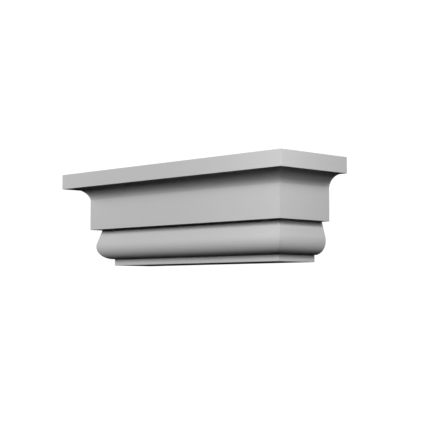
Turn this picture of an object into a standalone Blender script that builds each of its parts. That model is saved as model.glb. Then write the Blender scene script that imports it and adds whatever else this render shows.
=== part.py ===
"""Pilaster capital: one moulded block that crowns a flat pilaster shaft and backs on to a wall.

A single section runs round the front and both returns. From the bottom up its members are
a neck fillet, a roll that swells out and leans back, a plain fascia, a cove and a square abacus.

Metres, +Z up. The front faces -Y and the wall is at +Y. The origin is on the underside,
below the middle of the abacus.
"""

from math import acos, atan2, copysign, cos, radians, sin, tan

import bmesh
import bpy
from mathutils import Vector

# Plan of the abacus, the widest member
ABACUS_WIDTH = 0.490
ABACUS_DEPTH = 0.140  # from the wall to the front edge

# Heights of the members, from the bottom up
NECK_HEIGHT = 0.0104
ROLL_RADIUS = 0.0206
LEAN_HEIGHT = 0.0277  # from the roll's fullest line up to the fascia
FASCIA_HEIGHT = 0.0496
COVE_DROP = 0.0179
ABACUS_HEIGHT = 0.0238

# Steps across the section, from the abacus edge towards the middle
SOFFIT_WIDTH = 0.0115  # flat strip under the abacus, in front of the cove
COVE_REACH = 0.0218
FASCIA_STEP = 0.0142  # flat strip under the fascia, in front of the roll
ROLL_LEAN = 0.0072  # how far the roll swells out again below that strip
NECK_STEP = 0.0012  # flat strip under the roll, in front of the neck

# Softened edges
ARRIS_RADIUS = 0.0005  # along the members
CORNER_RADIUS = 0.0004  # up the two front corners
SHARPEST_LEFT_ALONE = radians(20)  # smaller turns in the section stay as drawn
MOST_OF_AN_EDGE = 0.45  # share of the shorter edge that one softened corner may take

# Facets
ARC_STEPS = 20
ARRIS_STEPS = 3
CORNER_STEPS = 4

# Finish
PAINT_COLOUR = (0.62, 0.62, 0.62, 1.0)
PAINT_ROUGHNESS = 0.75
SMOOTH_UP_TO = radians(8)  # a sharper fold between two facets shows as an edge


def clear_scene():
    for obj in list(bpy.data.objects):
        bpy.data.objects.remove(obj, do_unlink=True)


def arc(centre, radius, start, end, steps):
    """Points of a circular arc in the section, from one angle to the other."""
    angles = [start + (end - start) * i / steps for i in range(steps + 1)]
    return [centre + radius * Vector((cos(a), sin(a))) for a in angles]


def roll(fullest_inset, bottom, top):
    """Round from the roll's lowest line past its fullest, then straight up to top at a tangent."""
    centre = Vector((fullest_inset + ROLL_RADIUS, bottom + ROLL_RADIUS))
    to_top = top - centre
    leaves = atan2(to_top.y, to_top.x) + acos(ROLL_RADIUS / to_top.length)
    return [*arc(centre, ROLL_RADIUS, radians(270), leaves, ARC_STEPS), top]


def cove(bottom):
    """Hollow from the fascia's top edge up to the flat strip under the abacus, which it meets level."""
    radius = (COVE_REACH**2 + COVE_DROP**2) / (2 * COVE_DROP)
    centre = Vector((SOFFIT_WIDTH, bottom + COVE_DROP - radius))
    start = atan2(radius - COVE_DROP, COVE_REACH)
    return arc(centre, radius, start, radians(90), ARC_STEPS)


def section():
    """Outline of the mouldings as (inset from the abacus edge, height), from the bottom up."""
    fascia_inset = SOFFIT_WIDTH + COVE_REACH
    roll_top_inset = fascia_inset + FASCIA_STEP
    fullest_inset = roll_top_inset - ROLL_LEAN
    neck_inset = fullest_inset + ROLL_RADIUS + NECK_STEP

    fascia_bottom = NECK_HEIGHT + ROLL_RADIUS + LEAN_HEIGHT
    fascia_top = fascia_bottom + FASCIA_HEIGHT
    abacus_bottom = fascia_top + COVE_DROP
    return [
        Vector((neck_inset, 0)),
        Vector((neck_inset, NECK_HEIGHT)),
        *roll(fullest_inset, NECK_HEIGHT, Vector((roll_top_inset, fascia_bottom))),
        Vector((fascia_inset, fascia_bottom)),
        *cove(fascia_top),
        Vector((0, abacus_bottom)),
        Vector((0, abacus_bottom + ABACUS_HEIGHT)),
    ]


def softened_corner(before, corner, after):
    """The corner itself, or a small arc in its place if it is a sharp one that stands out."""
    arriving = (corner - before).normalized()
    leaving = (after - corner).normalized()
    turn = arriving.angle(leaving)
    stands_out = arriving.cross(leaving) < 0
    if turn < SHARPEST_LEFT_ALONE or not stands_out:
        return [corner]
    shorter = min((corner - before).length, (after - corner).length)
    setback = min(ARRIS_RADIUS * tan(turn / 2), MOST_OF_AN_EDGE * shorter)
    inward = (leaving - arriving).normalized()
    centre = corner + inward * (setback / sin(turn / 2))
    radius = setback / tan(turn / 2)
    start = corner - setback * arriving - centre
    end = corner + setback * leaving - centre
    shares = [i / ARRIS_STEPS for i in range(ARRIS_STEPS + 1)]
    return [centre + radius * start.slerp(end, share) for share in shares]


def softened(outline, width):
    """The outline with its arrises softened, also where it meets the underside and the top."""
    underside = Vector((width / 2, outline[0].y))
    top = Vector((width / 2, outline[-1].y))
    padded = [underside, *outline, top]
    corners = zip(padded, padded[1:], padded[2:])
    return [point for trio in corners for point in softened_corner(*trio)]


def rounded_rectangle(bm, half_width, half_depth):
    """One level face with small round corners, centred on the wall line."""
    made = bmesh.ops.create_grid(bm, x_segments=1, y_segments=1, size=1)
    bmesh.ops.scale(bm, vec=(half_width, half_depth, 1), verts=made["verts"])
    bmesh.ops.bevel(
        bm,
        geom=made["verts"],
        offset=CORNER_RADIUS,
        offset_type="OFFSET",
        segments=CORNER_STEPS,
        profile=0.5,
        affect="VERTICES",
        material=-1,
    )
    return bm.faces[:][0]


def raise_level(bm, face, step_in, rise):
    """Extrudes a level face up to the next outline point, drawing its edges in by step_in."""
    made = bmesh.ops.extrude_face_region(bm, geom=[face, *face.edges])["geom"]
    for vert in [item for item in made if isinstance(item, bmesh.types.BMVert)]:
        vert.co.x -= step_in * copysign(1, vert.co.x)
        vert.co.y -= step_in * copysign(1, vert.co.y)
        vert.co.z += rise
    return next(item for item in made if isinstance(item, bmesh.types.BMFace))


def cut_at_wall(bm):
    """Keeps the half in front of the wall line and closes it with one flat back."""
    everything = [*bm.verts, *bm.edges, *bm.faces]
    cut = bmesh.ops.bisect_plane(
        bm, geom=everything, plane_co=(0, 0, 0), plane_no=(0, 1, 0), clear_outer=True
    )
    edges = [item for item in cut["geom_cut"] if isinstance(item, bmesh.types.BMEdge)]
    bmesh.ops.contextual_create(bm, geom=edges)


def moulded_block():
    """The capital as the front half of a block that the section runs right round."""
    outline = softened(section(), ABACUS_WIDTH)
    bm = bmesh.new()
    face = rounded_rectangle(bm, ABACUS_WIDTH / 2 - outline[0].x, ABACUS_DEPTH - outline[0].x)
    for lower, upper in zip(outline, outline[1:]):
        face = raise_level(bm, face, upper.x - lower.x, upper.y - lower.y)
    cut_at_wall(bm)
    bmesh.ops.recalc_face_normals(bm, faces=bm.faces[:])
    mesh = bpy.data.meshes.new("pilaster_capital")
    bm.to_mesh(mesh)
    bm.free()
    mesh.shade_smooth()
    mesh.set_sharp_from_angle(angle=SMOOTH_UP_TO)
    return mesh


def light_grey_paint():
    material = bpy.data.materials.new("light_grey_paint")
    material.use_nodes = True
    shader = material.node_tree.nodes["Principled BSDF"]
    shader.inputs["Base Color"].default_value = PAINT_COLOUR
    shader.inputs["Roughness"].default_value = PAINT_ROUGHNESS
    shader.inputs["Metallic"].default_value = 0.0
    return material


def pilaster_capital():
    capital = bpy.data.objects.new("pilaster_capital", moulded_block())
    capital.data.materials.append(light_grey_paint())
    capital.location.y = ABACUS_DEPTH / 2
    bpy.context.scene.collection.objects.link(capital)
    return capital


clear_scene()
pilaster_capital()
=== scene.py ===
"""Pilaster capital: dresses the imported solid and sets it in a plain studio.

The capital is one moulding. Its section runs round the front and both returns, and it is cut
flat at the wall. Metres, +Z up, front towards -Y, wall at +Y.
"""

from math import acos, atan2, copysign, cos, radians, sin, tan
from typing import NamedTuple

import bmesh
import bpy
from mathutils import Euler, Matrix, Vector


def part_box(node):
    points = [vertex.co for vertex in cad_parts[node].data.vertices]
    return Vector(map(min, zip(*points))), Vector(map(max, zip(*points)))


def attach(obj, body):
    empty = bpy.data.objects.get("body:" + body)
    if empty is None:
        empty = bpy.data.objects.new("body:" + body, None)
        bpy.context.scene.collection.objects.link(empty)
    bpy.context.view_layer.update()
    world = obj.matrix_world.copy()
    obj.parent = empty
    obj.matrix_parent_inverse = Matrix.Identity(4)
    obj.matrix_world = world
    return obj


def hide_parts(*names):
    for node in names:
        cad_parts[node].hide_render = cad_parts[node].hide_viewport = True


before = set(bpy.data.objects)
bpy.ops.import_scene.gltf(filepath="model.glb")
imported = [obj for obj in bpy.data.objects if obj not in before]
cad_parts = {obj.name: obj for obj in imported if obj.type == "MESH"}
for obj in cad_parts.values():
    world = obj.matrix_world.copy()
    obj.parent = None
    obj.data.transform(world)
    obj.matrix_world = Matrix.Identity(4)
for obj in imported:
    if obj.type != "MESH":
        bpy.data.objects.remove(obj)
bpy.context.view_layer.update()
CAD_NODE = "pilaster_capital"
LOWEST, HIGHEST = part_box(CAD_NODE)
CENTRE = (LOWEST + HIGHEST) / 2

bl_info = {
    "name": "Pilaster Capital",
    "version": (1, 0, 0),
    "blender": (4, 5, 0),
    "location": "3D View > Sidebar > Pilaster Capital",
    "description": "Models a plain moulded pilaster capital and sets it in a studio",
    "category": "Add Mesh",
}

SMOOTH_UP_TO = radians(8)  # a sharper fold between two facets shows as an edge
SHARPEST_LEFT_ALONE = radians(20)  # smaller turns in the section stay as drawn
MOST_OF_AN_EDGE = 0.45  # share of the shorter edge that one softened corner may take

# Facets round each curve
ARC_STEPS = 64
ARRIS_STEPS = 12
CORNER_STEPS = 12

# Patterns in the finishes. Scales are in cells a metre, details in octaves
FINE_DETAIL = 2
SPECKLE_SCALE = 0.25  # times the fine grain's scale
SPECKLE_DETAIL = 3
SPECKLE_HEIGHT = 0.8  # times the fine grain's height
DRIFT_SCALE = 9
DRIFT_DETAIL = 2
ROUGHNESS_DRIFT = 0.06  # up or down from the primer's own

DUST_SCALE = 30
DUST_DETAIL = 6
LEAST_DUST = 0.15  # added to the patches, so that no spot on top is quite clean
DUST_ON_SLOPES = 4  # the higher, the less dust lies on a slope

RUB_SCALE = 140
RUB_DETAIL = 4
RUB_STRENGTH = 6
RUBBED_PALER = 1.2  # times the primer's colour

FOAM_SPACING = 2  # times the spacing of the primer's stipple
FOAM_HEIGHT = 6  # times the height of the primer's stipple
FOAM_DRIFT = 0.06  # up or down from the foam's own brightness
FOAM_ROUGHNESS = 0.95
PORE_SCALE = 420
PORE_RADIUS = 0.22  # of a cell's width
PORE_DARKER = 0.7  # times the foam's colour
PORE_STRENGTH = 0.5

FLOOR_SCALE = 3
FLOOR_DETAIL = 4
FLOOR_DARKER = 0.96  # times the floor's colour
FLOOR_ROUGHNESS = 0.9

WHITE = (1, 1, 1, 1)
CLEAR_WHITE = 1.05  # brighter than white by so much that no grey speck is left


def length(name, description, default):
    return bpy.props.FloatProperty(
        name=name, description=description, default=default, min=0, precision=4, unit="LENGTH"
    )


def share(name, description, default):
    return bpy.props.FloatProperty(
        name=name, description=description, default=default, min=0, max=1, subtype="FACTOR"
    )


def angle(name, description, default):
    return bpy.props.FloatProperty(
        name=name, description=description, default=radians(default), subtype="ANGLE"
    )


def colour(name, description, default):
    return bpy.props.FloatVectorProperty(
        name=name, description=description, default=default, min=0, max=1, size=4, subtype="COLOR"
    )


class CapitalSizes(bpy.types.PropertyGroup):
    """Members of the section; the whole width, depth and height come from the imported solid"""

    neck_height: length("Neck height", "Height of the fillet at the very bottom", 0.0104)
    neck_step: length("Neck step", "Flat strip under the roll, in front of the neck", 0.0012)
    roll_radius: length("Roll radius", "Radius of the round under the roll", 0.0206)
    lean_height: length("Lean height", "From the roll's fullest line up to the fascia", 0.0277)
    roll_lean: length("Roll lean", "How far the roll swells out below the fascia", 0.0072)
    fascia_step: length("Fascia step", "Flat strip under the fascia, in front of the roll", 0.0142)
    fascia_height: length("Fascia height", "Height of the plain flat band", 0.0496)
    cove_drop: length("Cove drop", "Height of the hollow above the fascia", 0.0179)
    cove_reach: length("Cove reach", "How far the hollow comes out over the fascia", 0.0218)
    soffit_width: length("Soffit width", "Flat strip under the abacus, before the cove", 0.0115)
    arris_radius: length("Arris radius", "Softening along the edges of the members", 0.0005)
    corner_radius: length("Corner radius", "Softening up the two front corners", 0.0004)


class CapitalFinish(bpy.types.PropertyGroup):
    """Primer on the moulded faces, and the bare back"""

    primer: colour("Primer", "Colour of the flat primer", (0.62, 0.62, 0.62, 1))
    primer_roughness: share("Primer roughness", "How dull the primer is", 0.75)
    drift: share("Tone drift", "How far the primer's tone wanders over a hand's breadth", 0.03)
    stipple: length("Stipple", "Spacing of the sprayed primer's fine bumps", 0.0016)
    stipple_height: length("Stipple height", "Height of those bumps", 0.00002)
    foam: colour("Foam", "Colour of the bare planed back", (0.60, 0.58, 0.53, 1))
    dust: colour("Dust", "Colour of the dust lying on top", (0.52, 0.51, 0.49, 1))
    dust_cover: share("Dust cover", "How much of the top the dust hides", 0.25)
    rub: share("Edge rub", "How much of the paler tone shows along the edges", 0.04)
    rub_width: length("Rub width", "How far the rub reaches in from an edge", 0.0015)


class CapitalStage(bpy.types.PropertyGroup):
    """Camera, floor and light"""

    camera_azimuth: angle("Camera azimuth", "0 faces the front, 90 the right return", 45.665)
    camera_pitch: angle("Camera pitch", "How far the camera looks up", 3.907)
    camera_place: bpy.props.FloatVectorProperty(
        name="Camera place",
        description="Where the lens stands",
        default=(1.2772, -1.2034, -0.0448),
        precision=4,
        subtype="TRANSLATION",
    )
    camera_lens: bpy.props.FloatProperty(
        name="Camera lens", description="Focal length", default=95.39, min=1, unit="CAMERA"
    )
    floor_drop: length("Floor drop", "How far the floor lies below the capital", 1.2)
    floor_reach: length("Floor reach", "Half the width of the floor", 40)
    near_floor: length("Near floor", "How far out the floor keeps its pale tone", 2)
    clear_floor: length("Clear floor", "Where the floor has faded to clear white", 7)
    near_glow: colour("Near glow", "Glow of the floor near the capital", (0.6, 0.6, 0.6, 1))
    floor: colour("Floor", "Colour of the pale floor", (0.9, 0.9, 0.9, 1))
    light_level: bpy.props.FloatProperty(
        name="Light level", description="Scales every lamp", default=1, min=0
    )


class Softbox(NamedTuple):
    """A square area lamp aimed at the middle of the capital, and placed by compass from there"""

    name: str
    azimuth: float  # degrees: 0 is in front, 90 off the right return
    elevation: float  # degrees
    distance: float  # metres
    width: float  # metres
    watts: float


SOFTBOXES = (
    Softbox("key_softbox", 53.6, 18.3, 0.88, 0.12, 2.8),
    Softbox("low_key_softbox", 60, 5, 0.6, 0.12, 0.22),
    Softbox("front_softbox", -30, 15, 2.2, 0.7, 13.4),
    Softbox("left_softbox", -60, 15, 2.2, 0.7, 26.4),
    Softbox("right_softbox", 90, 15, 2.2, 0.7, 8.3),
    Softbox("high_right_softbox", 105, 30, 2.2, 0.7, 8.5),
    Softbox("back_softbox", 190, 35, 2.5, 1.2, 35),
    Softbox("low_front_softbox", 20, -60, 1.3, 0.6, 0.15),
    Softbox("under_softbox", 215, -50, 1.3, 0.6, 0.12),
)


# The moulding


def arc(centre, radius, start, end, steps):
    """Points of a circular arc in the section, from one angle to the other."""
    angles = [start + (end - start) * i / steps for i in range(steps + 1)]
    return [centre + radius * Vector((cos(a), sin(a))) for a in angles]


def roll(sizes, fullest_inset, bottom, top):
    """Round from the roll's lowest line past its fullest, then straight up to top at a tangent."""
    centre = Vector((fullest_inset + sizes.roll_radius, bottom + sizes.roll_radius))
    to_top = top - centre
    leaves = atan2(to_top.y, to_top.x) + acos(sizes.roll_radius / to_top.length)
    return [*arc(centre, sizes.roll_radius, radians(270), leaves, ARC_STEPS), top]


def cove(sizes, bottom):
    """Hollow from the fascia's top edge up to the flat strip under the abacus, ending level."""
    reach = sizes.cove_reach
    drop = sizes.cove_drop
    radius = (reach**2 + drop**2) / (2 * drop)
    centre = Vector((sizes.soffit_width, bottom + drop - radius))
    start = atan2(radius - drop, reach)
    return arc(centre, radius, start, radians(90), ARC_STEPS)


def section(sizes):
    """Outline of the mouldings as (inset from the abacus edge, height), from the bottom up."""
    fascia_inset = sizes.soffit_width + sizes.cove_reach
    roll_top_inset = fascia_inset + sizes.fascia_step
    fullest_inset = roll_top_inset - sizes.roll_lean
    neck_inset = fullest_inset + sizes.roll_radius + sizes.neck_step

    neck_bottom = LOWEST.z
    neck_top = neck_bottom + sizes.neck_height
    fascia_bottom = neck_top + sizes.roll_radius + sizes.lean_height
    fascia_top = fascia_bottom + sizes.fascia_height
    abacus_bottom = fascia_top + sizes.cove_drop
    return [
        Vector((neck_inset, neck_bottom)),
        Vector((neck_inset, neck_top)),
        *roll(sizes, fullest_inset, neck_top, Vector((roll_top_inset, fascia_bottom))),
        Vector((fascia_inset, fascia_bottom)),
        *cove(sizes, fascia_top),
        Vector((0, abacus_bottom)),
        Vector((0, HIGHEST.z)),
    ]


def softened_corner(before, corner, after, arris_radius):
    """The corner itself, or a small arc in its place if it is a sharp one that stands out."""
    arriving = (corner - before).normalized()
    leaving = (after - corner).normalized()
    turn = arriving.angle(leaving)
    stands_out = arriving.cross(leaving) < 0
    if turn < SHARPEST_LEFT_ALONE or not stands_out:
        return [corner]
    shorter = min((corner - before).length, (after - corner).length)
    setback = min(arris_radius * tan(turn / 2), MOST_OF_AN_EDGE * shorter)
    inward = (leaving - arriving).normalized()
    centre = corner + inward * (setback / sin(turn / 2))
    radius = setback / tan(turn / 2)
    start = corner - setback * arriving - centre
    end = corner + setback * leaving - centre
    shares = [i / ARRIS_STEPS for i in range(ARRIS_STEPS + 1)]
    return [centre + radius * start.slerp(end, share) for share in shares]


def softened(outline, arris_radius):
    """The outline with its arrises softened, also where it meets the underside and the top."""
    middle = HIGHEST.x - CENTRE.x
    underside = Vector((middle, outline[0].y))
    top = Vector((middle, outline[-1].y))
    padded = [underside, *outline, top]
    corners = zip(padded, padded[1:], padded[2:])
    return [point for trio in corners for point in softened_corner(*trio, arris_radius)]


def rounded_rectangle(bm, half_width, half_depth, corner_radius):
    """One level face with small round corners, centred on the wall line."""
    made = bmesh.ops.create_grid(bm, x_segments=1, y_segments=1, size=1)
    bmesh.ops.scale(bm, vec=(half_width, half_depth, 1), verts=made["verts"])
    bmesh.ops.bevel(
        bm,
        geom=made["verts"],
        offset=corner_radius,
        offset_type="OFFSET",
        segments=CORNER_STEPS,
        profile=0.5,
        affect="VERTICES",
        material=-1,
    )
    return bm.faces[:][0]


def raise_level(bm, face, step_in, rise):
    """Extrudes a level face up to the next outline point, drawing its edges in by step_in."""
    made = bmesh.ops.extrude_face_region(bm, geom=[face, *face.edges])["geom"]
    for vert in [item for item in made if isinstance(item, bmesh.types.BMVert)]:
        vert.co.x -= step_in * copysign(1, vert.co.x)
        vert.co.y -= step_in * copysign(1, vert.co.y)
        vert.co.z += rise
    return next(item for item in made if isinstance(item, bmesh.types.BMFace))


def cut_at_wall(bm):
    """Keeps the half in front of the wall line and closes it with one flat back, in slot 1."""
    everything = [*bm.verts, *bm.edges, *bm.faces]
    cut = bmesh.ops.bisect_plane(
        bm, geom=everything, plane_co=(0, 0, 0), plane_no=(0, 1, 0), clear_outer=True
    )
    edges = [item for item in cut["geom_cut"] if isinstance(item, bmesh.types.BMEdge)]
    closed = bmesh.ops.contextual_create(bm, geom=edges)
    for face in closed["faces"]:
        face.material_index = 1


def moulded_mesh(sizes):
    """The capital as the front half of a block that the section runs right round."""
    outline = softened(section(sizes), sizes.arris_radius)
    inset = outline[0].x
    half_width = HIGHEST.x - CENTRE.x - inset
    depth = HIGHEST.y - LOWEST.y - inset
    bm = bmesh.new()
    face = rounded_rectangle(bm, half_width, depth, sizes.corner_radius)
    for lower, upper in zip(outline, outline[1:]):
        face = raise_level(bm, face, upper.x - lower.x, upper.y - lower.y)
    cut_at_wall(bm)
    bmesh.ops.translate(bm, vec=(CENTRE.x, HIGHEST.y, outline[0].y), verts=bm.verts[:])
    bmesh.ops.recalc_face_normals(bm, faces=bm.faces[:])
    mesh = bpy.data.meshes.new("capital_moulding")
    bm.to_mesh(mesh)
    bm.free()
    mesh.shade_smooth()
    mesh.set_sharp_from_angle(angle=SMOOTH_UP_TO)
    return mesh


# Finishes


def new_group(name, given, results):
    """An empty node group whose named inputs and outputs are single values."""
    group = bpy.data.node_groups.new(name, "ShaderNodeTree")
    for socket in given:
        group.interface.new_socket(socket, in_out="INPUT", socket_type="NodeSocketFloat")
    for socket in results:
        group.interface.new_socket(socket, in_out="OUTPUT", socket_type="NodeSocketFloat")
    return group, group.nodes.new("NodeGroupInput"), group.nodes.new("NodeGroupOutput")


def math_node(tree, operation, first, second, clamp=False):
    """A Math node, each of whose two inputs is a socket or a number."""
    node = tree.nodes.new("ShaderNodeMath")
    node.operation = operation
    node.use_clamp = clamp
    for slot, value in enumerate((first, second)):
        if isinstance(value, bpy.types.NodeSocket):
            tree.links.new(value, node.inputs[slot])
        else:
            node.inputs[slot].default_value = value
    return node.outputs[0]


def mixed(tree, factor, first, second):
    """A colour mix. Each input is a socket or a value."""
    node = tree.nodes.new("ShaderNodeMix")
    node.data_type = "RGBA"
    sockets = (node.inputs[0], *[socket for socket in node.inputs if socket.type == "RGBA"])
    for socket, value in zip(sockets, (factor, first, second)):
        if isinstance(value, bpy.types.NodeSocket):
            tree.links.new(value, socket)
        else:
            socket.default_value = value
    return next(socket for socket in node.outputs if socket.type == "RGBA")


def noise(tree, vector, scale, detail):
    """Noise at so many cells a metre, from 0 to 1."""
    node = tree.nodes.new("ShaderNodeTexNoise")
    tree.links.new(vector, node.inputs["Vector"])
    if isinstance(scale, bpy.types.NodeSocket):
        tree.links.new(scale, node.inputs["Scale"])
    else:
        node.inputs["Scale"].default_value = scale
    node.inputs["Detail"].default_value = detail
    return node.outputs["Fac"]


def grain_group():
    """Broad tone drift, speckle and a bump height."""
    group, given, result = new_group("Grain", ["Spacing"], ["Drift", "Speckle", "Height"])
    place = group.nodes.new("ShaderNodeTexCoord").outputs["Object"]
    fine_scale = math_node(group, "DIVIDE", 1, given.outputs["Spacing"])
    fine = noise(group, place, fine_scale, FINE_DETAIL)
    speckle_scale = math_node(group, "MULTIPLY", fine_scale, SPECKLE_SCALE)
    speckle = noise(group, place, speckle_scale, SPECKLE_DETAIL)
    drift = noise(group, place, DRIFT_SCALE, DRIFT_DETAIL)
    height = math_node(group, "ADD", fine, math_node(group, "MULTIPLY", speckle, SPECKLE_HEIGHT))
    group.links.new(drift, result.inputs["Drift"])
    group.links.new(speckle, result.inputs["Speckle"])
    group.links.new(height, result.inputs["Height"])
    return group


def dust_group():
    """Mask of dust on faces that look up, thin and patchy."""
    group, given, result = new_group("Settled dust", ["Cover"], ["Mask"])
    place = group.nodes.new("ShaderNodeTexCoord").outputs["Object"]
    split = group.nodes.new("ShaderNodeSeparateXYZ")
    facing = group.nodes.new("ShaderNodeNewGeometry").outputs["Normal"]
    group.links.new(facing, split.inputs[0])
    upward = math_node(group, "MAXIMUM", split.outputs["Z"], 0)
    resting = math_node(group, "POWER", upward, DUST_ON_SLOPES)
    patches = math_node(group, "ADD", noise(group, place, DUST_SCALE, DUST_DETAIL), LEAST_DUST)
    mask = math_node(group, "MULTIPLY", resting, patches)
    mask = math_node(group, "MULTIPLY", mask, given.outputs["Cover"], clamp=True)
    group.links.new(mask, result.inputs["Mask"])
    return group


def rub_group():
    """Mask of the rubbed edges: where a rounded normal parts from the true one."""
    group, given, result = new_group("Rubbed edges", ["Width"], ["Mask"])
    rounded = group.nodes.new("ShaderNodeBevel")
    group.links.new(given.outputs["Width"], rounded.inputs["Radius"])
    dot = group.nodes.new("ShaderNodeVectorMath")
    dot.operation = "DOT_PRODUCT"
    group.links.new(rounded.outputs["Normal"], dot.inputs[0])
    group.links.new(group.nodes.new("ShaderNodeNewGeometry").outputs["Normal"], dot.inputs[1])
    parted = math_node(group, "SUBTRACT", 1, dot.outputs["Value"])
    place = group.nodes.new("ShaderNodeTexCoord").outputs["Object"]
    broken = math_node(group, "MULTIPLY", noise(group, place, RUB_SCALE, RUB_DETAIL), RUB_STRENGTH)
    mask = math_node(group, "MULTIPLY", parted, broken, clamp=True)
    group.links.new(mask, result.inputs["Mask"])
    return group


def placed(tree, group, **values):
    """The group as a node of tree, with the given values on its inputs."""
    node = tree.nodes.new("ShaderNodeGroup")
    node.node_tree = group
    for name, value in values.items():
        node.inputs[name].default_value = value
    return node


def new_material(name):
    material = bpy.data.materials.new(name)
    material.use_nodes = True
    tree = material.node_tree
    return material, tree, tree.nodes["Principled BSDF"]


def bumped(tree, shader, height, distance):
    bump = tree.nodes.new("ShaderNodeBump")
    bump.inputs["Distance"].default_value = distance
    tree.links.new(height, bump.inputs["Height"])
    tree.links.new(bump.outputs["Normal"], shader.inputs["Normal"])


def spread(tree, value, middle, reach):
    """Value between 0 and 1 spread to middle - reach and middle + reach."""
    scaled = math_node(tree, "MULTIPLY", math_node(tree, "SUBTRACT", value, 0.5), 2 * reach)
    return math_node(tree, "ADD", scaled, middle)


def toned(tree, tint, drift, reach):
    """The tint, with a brightness that wanders by up to reach as drift goes from 0 to 1."""
    node = tree.nodes.new("ShaderNodeHueSaturation")
    node.inputs["Color"].default_value = tint
    tree.links.new(spread(tree, drift, 1, reach), node.inputs["Value"])
    return node.outputs["Color"]


def times(tint, factor):
    """The tint made paler or darker by a factor, and still opaque."""
    return [*(min(1, channel * factor) for channel in tint[:3]), 1]


def primer_material(finish, grain, dust, rub):
    material, tree, shader = new_material("light_grey_primer")
    grains = placed(tree, grain, Spacing=finish.stipple)
    primed = toned(tree, finish.primer, grains.outputs["Drift"], finish.drift)
    edges = placed(tree, rub, Width=finish.rub_width)
    worn = math_node(tree, "MULTIPLY", edges.outputs["Mask"], finish.rub)
    body = mixed(tree, worn, primed, times(finish.primer, RUBBED_PALER))
    dusty = placed(tree, dust, Cover=finish.dust_cover)
    tree.links.new(mixed(tree, dusty.outputs["Mask"], body, finish.dust), shader.inputs["Base Color"])
    roughness = spread(tree, grains.outputs["Speckle"], finish.primer_roughness, ROUGHNESS_DRIFT)
    tree.links.new(roughness, shader.inputs["Roughness"])
    bumped(tree, shader, grains.outputs["Height"], finish.stipple_height)
    return material


def foam_material(finish, grain):
    material, tree, shader = new_material("bare_foam_back")
    grains = placed(tree, grain, Spacing=finish.stipple * FOAM_SPACING)
    place = tree.nodes.new("ShaderNodeTexCoord").outputs["Object"]
    pores = tree.nodes.new("ShaderNodeTexVoronoi")
    pores.inputs["Scale"].default_value = PORE_SCALE
    tree.links.new(place, pores.inputs["Vector"])
    open_pore = math_node(tree, "LESS_THAN", pores.outputs["Distance"], PORE_RADIUS)
    pore_mask = math_node(tree, "MULTIPLY", open_pore, PORE_STRENGTH)
    foam = toned(tree, finish.foam, grains.outputs["Drift"], FOAM_DRIFT)
    pored = mixed(tree, pore_mask, foam, times(finish.foam, PORE_DARKER))
    tree.links.new(pored, shader.inputs["Base Color"])
    shader.inputs["Roughness"].default_value = FOAM_ROUGHNESS
    bumped(tree, shader, grains.outputs["Height"], finish.stipple_height * FOAM_HEIGHT)
    return material


class CAPITAL_OT_mould(bpy.types.Operator):
    """Model the capital in one piece and give it its primer"""

    bl_idname = "capital.mould"
    bl_label = "Mould Capital"
    bl_options = {"REGISTER", "UNDO"}

    def execute(self, context):
        scene = context.scene
        moulding = bpy.data.objects.new("capital_moulding", moulded_mesh(scene.capital_sizes))
        scene.collection.objects.link(moulding)
        weighted = moulding.modifiers.new("Weighted Normal", "WEIGHTED_NORMAL")
        weighted.keep_sharp = True
        # The photo shows hardly any light passed on from one member to the next
        moulding.visible_diffuse = False
        grain = grain_group()
        finish = scene.capital_finish
        moulding.data.materials.append(primer_material(finish, grain, dust_group(), rub_group()))
        moulding.data.materials.append(foam_material(finish, grain))
        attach(moulding, "root")
        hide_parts(CAD_NODE)
        return {"FINISHED"}


# The studio


def add_floor(stage):
    """Pale floor, lit near the capital and fading to clear white far away."""
    bm = bmesh.new()
    bmesh.ops.create_grid(bm, x_segments=1, y_segments=1, size=stage.floor_reach)
    bmesh.ops.translate(bm, vec=(0, 0, LOWEST.z - stage.floor_drop), verts=bm.verts[:])
    mesh = bpy.data.meshes.new("studio_floor")
    bm.to_mesh(mesh)
    bm.free()
    floor = bpy.data.objects.new("studio_floor", mesh)
    bpy.context.scene.collection.objects.link(floor)
    floor.visible_diffuse = False
    floor.visible_glossy = False
    mesh.materials.append(floor_material(stage))


def floor_material(stage):
    """Pale, faintly mottled, and fading to clear white with the distance from the capital."""
    material, tree, shader = new_material("pale_floor")
    place = tree.nodes.new("ShaderNodeTexCoord").outputs["Object"]
    mottle = noise(tree, place, FLOOR_SCALE, FLOOR_DETAIL)
    mottled = mixed(tree, mottle, times(stage.floor, FLOOR_DARKER), stage.floor)
    tree.links.new(mottled, shader.inputs["Base Color"])
    shader.inputs["Roughness"].default_value = FLOOR_ROUGHNESS

    away = tree.nodes.new("ShaderNodeVectorMath")
    away.operation = "LENGTH"
    tree.links.new(place, away.inputs[0])
    fade = tree.nodes.new("ShaderNodeMapRange")
    fade.interpolation_type = "SMOOTHSTEP"
    tree.links.new(away.outputs["Value"], fade.inputs["Value"])
    fade.inputs["From Min"].default_value = stage.near_floor
    fade.inputs["From Max"].default_value = stage.clear_floor
    glow = mixed(tree, fade.outputs["Result"], stage.near_glow, WHITE)
    tree.links.new(glow, shader.inputs["Emission Color"])
    shader.inputs["Emission Strength"].default_value = CLEAR_WHITE
    # The floor only has to look white. Counted as a lamp, it would take rays from the softboxes
    material.cycles.emission_sampling = "NONE"

    # Clear from below, so that it hides nothing of the capital's underside
    from_below = tree.nodes.new("ShaderNodeNewGeometry").outputs["Backfacing"]
    tree.links.new(math_node(tree, "SUBTRACT", 1, from_below), shader.inputs["Alpha"])
    return material


def set_backdrop(scene):
    """White behind everything that the camera sees, and no light on the capital."""
    world = bpy.data.worlds.new("white_backdrop")
    scene.world = world
    world.use_nodes = True
    tree = world.node_tree
    backdrop = tree.nodes["Background"]
    backdrop.inputs["Color"].default_value = [CLEAR_WHITE * channel for channel in WHITE]
    seen = tree.nodes.new("ShaderNodeLightPath").outputs["Is Camera Ray"]
    tree.links.new(seen, backdrop.inputs["Strength"])


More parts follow.
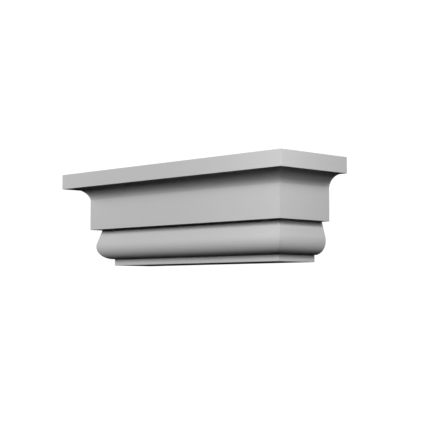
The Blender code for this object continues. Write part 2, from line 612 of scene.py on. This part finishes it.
def add_softbox(softbox, level):
    lamp = bpy.data.lights.new(softbox.name, "AREA")
    lamp.shape = "SQUARE"
    lamp.size = softbox.width
    lamp.energy = softbox.watts * level
    azimuth = radians(softbox.azimuth)
    elevation = radians(softbox.elevation)
    away = Vector((sin(azimuth) * cos(elevation), -cos(azimuth) * cos(elevation), sin(elevation)))
    placed_lamp = bpy.data.objects.new(softbox.name, lamp)
    placed_lamp.location = CENTRE + away * softbox.distance
    placed_lamp.rotation_euler = away.to_track_quat("Z", "Y").to_euler()
    placed_lamp.visible_camera = False
    bpy.context.scene.collection.objects.link(placed_lamp)


def add_camera(scene, stage):
    camera = bpy.data.cameras.new("camera")
    camera.lens = stage.camera_lens
    placed_camera = bpy.data.objects.new("camera", camera)
    placed_camera.location = stage.camera_place
    placed_camera.rotation_euler = Euler((radians(90) + stage.camera_pitch, 0, stage.camera_azimuth))
    scene.collection.objects.link(placed_camera)
    scene.camera = placed_camera


class CAPITAL_OT_set_stage(bpy.types.Operator):
    """Set the floor, the backdrop, the softboxes and the camera"""

    bl_idname = "capital.set_stage"
    bl_label = "Set Stage"
    bl_options = {"REGISTER", "UNDO"}

    def execute(self, context):
        scene = context.scene
        stage = scene.capital_stage
        add_floor(stage)
        set_backdrop(scene)
        for softbox in SOFTBOXES:
            add_softbox(softbox, stage.light_level)
        add_camera(scene, stage)
        scene.view_settings.view_transform = "Standard"
        return {"FINISHED"}


class CAPITAL_PT_sidebar(bpy.types.Panel):
    """Sizes, finishes and studio of the capital"""

    bl_idname = "CAPITAL_PT_sidebar"
    bl_label = "Pilaster Capital"
    bl_space_type = "VIEW_3D"
    bl_region_type = "UI"
    bl_category = "Pilaster Capital"

    def draw(self, context):
        parts = (
            (context.scene.capital_sizes, None),
            (context.scene.capital_finish, "capital.mould"),
            (context.scene.capital_stage, "capital.set_stage"),
        )
        for settings, operator in parts:
            box = self.layout.box()
            for name in settings.__annotations__:
                box.prop(settings, name)
            if operator:
                box.operator(operator)


SETTINGS = {
    "capital_sizes": CapitalSizes,
    "capital_finish": CapitalFinish,
    "capital_stage": CapitalStage,
}
CLASSES = (*SETTINGS.values(), CAPITAL_OT_mould, CAPITAL_OT_set_stage, CAPITAL_PT_sidebar)


def register():
    for cls in CLASSES:
        bpy.utils.register_class(cls)
    for name, group in SETTINGS.items():
        setattr(bpy.types.Scene, name, bpy.props.PointerProperty(type=group))


def unregister():
    for name in SETTINGS:
        delattr(bpy.types.Scene, name)
    for cls in reversed(CLASSES):
        bpy.utils.unregister_class(cls)


def main():
    register()
    bpy.ops.capital.mould()
    bpy.ops.capital.set_stage()


if __name__ == "__main__":
    main()
